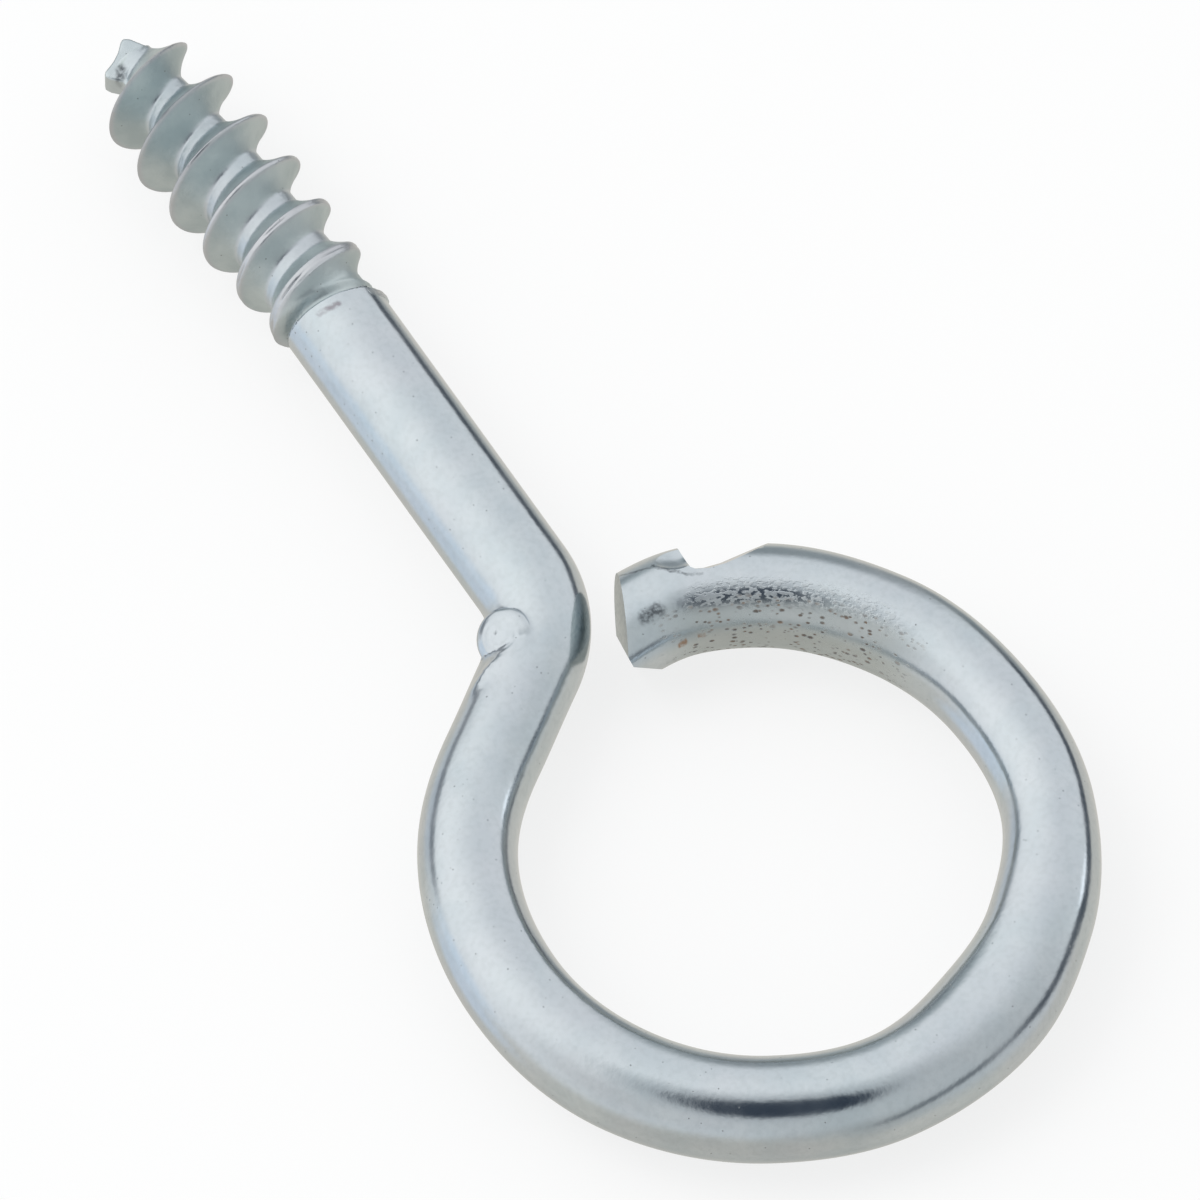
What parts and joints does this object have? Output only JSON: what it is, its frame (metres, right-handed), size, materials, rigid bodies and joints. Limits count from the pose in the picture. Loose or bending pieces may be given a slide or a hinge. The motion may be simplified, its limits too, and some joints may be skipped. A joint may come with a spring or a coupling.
{
  "type": "screw eye",
  "caption": "Zinc-plated steel wood screw eye: a shank with a coarse wood-screw thread, a tight neck and a round open eye for a hook, rope or wire.",
  "frame": {"origin": "centre of the eye, in the middle of the wire's thickness", "axes": "+Y along the shank towards the tip of the thread, +Z square to the plane of the eye, +X to the side where the sheared end of the wire comes round"},
  "size_m": [0.0393, 0.0856, 0.0081],
  "materials": {
    "zinc_plated_steel": "bluish zinc plate with a satin sheen, dulled thread flanks and a few rust pits"
  },
  "bodies": {
    "root": {"screw_eye": "zinc_plated_steel"}
  },
  "joints": []
}
